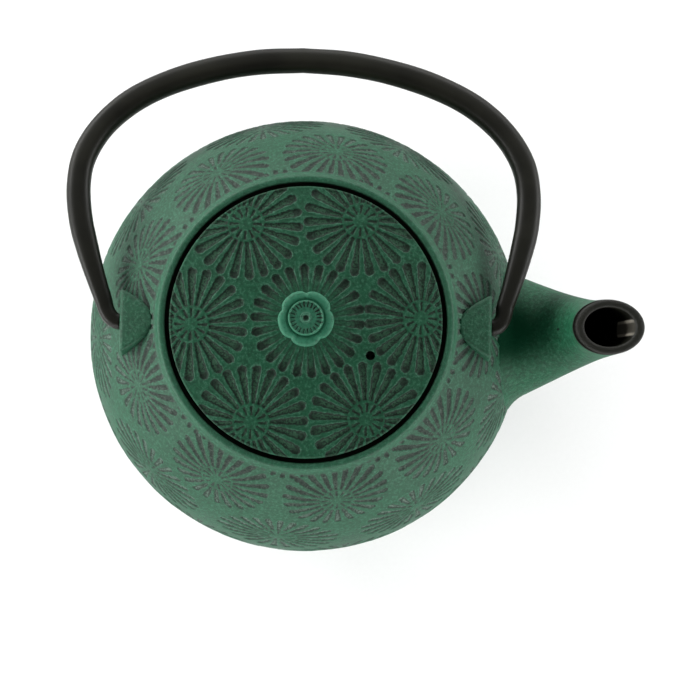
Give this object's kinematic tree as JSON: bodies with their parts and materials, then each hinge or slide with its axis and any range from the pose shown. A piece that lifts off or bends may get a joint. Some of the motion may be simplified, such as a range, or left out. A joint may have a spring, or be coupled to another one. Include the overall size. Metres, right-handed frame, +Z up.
{
  "type": "cast iron teapot",
  "caption": "Round cast iron teapot with a relief pattern, short spout, folding bail handle, lift-off knobbed lid and a steel infuser basket.",
  "frame": {"origin": "centre of the flat foot, where the pot's axis meets the table", "axes": "+Z up along the pot's axis, +X towards the spout, +Y towards the side that the handle is folded to"},
  "size_m": [0.1935, 0.1721, 0.1142],
  "materials": {
    "pot_enamel": "matt green enamel over a cast relief, worn darker in the recesses",
    "washer_steel": "plain",
    "handle_black": "semi-gloss black enamel",
    "infuser_steel": "brushed stainless, perforated"
  },
  "bodies": {
    "pot": {"body_casting": "pot_enamel"},
    "lid": {"lid_casting": "pot_enamel", "lid_knob": "pot_enamel", "knob_washer": "washer_steel"},
    "handle": {"bail_handle": "handle_black"},
    "infuser": {"infuser_rim": "infuser_steel", "infuser_basket": "infuser_steel", "infuser_floor": "infuser_steel"}
  },
  "joints": [
    {"name": "handle_swing", "type": "hinge", "parent": "pot", "child": "handle", "pos_m": [0, 0, 0.089], "axis": [1, 0, 0], "range_deg": [0, 204]},
    {"name": "lid_lift", "type": "slide", "parent": "pot", "child": "lid", "axis": [0, 0, 1], "range_m": [0, 0.12]},
    {"name": "infuser_lift", "type": "slide", "parent": "pot", "child": "infuser", "axis": [0, 0, 1], "range_m": [0, 0.06]}
  ],
  "couplings": [
    {"joint": "infuser_lift", "follows": "lid_lift", "ratio": 0.5}
  ]
}
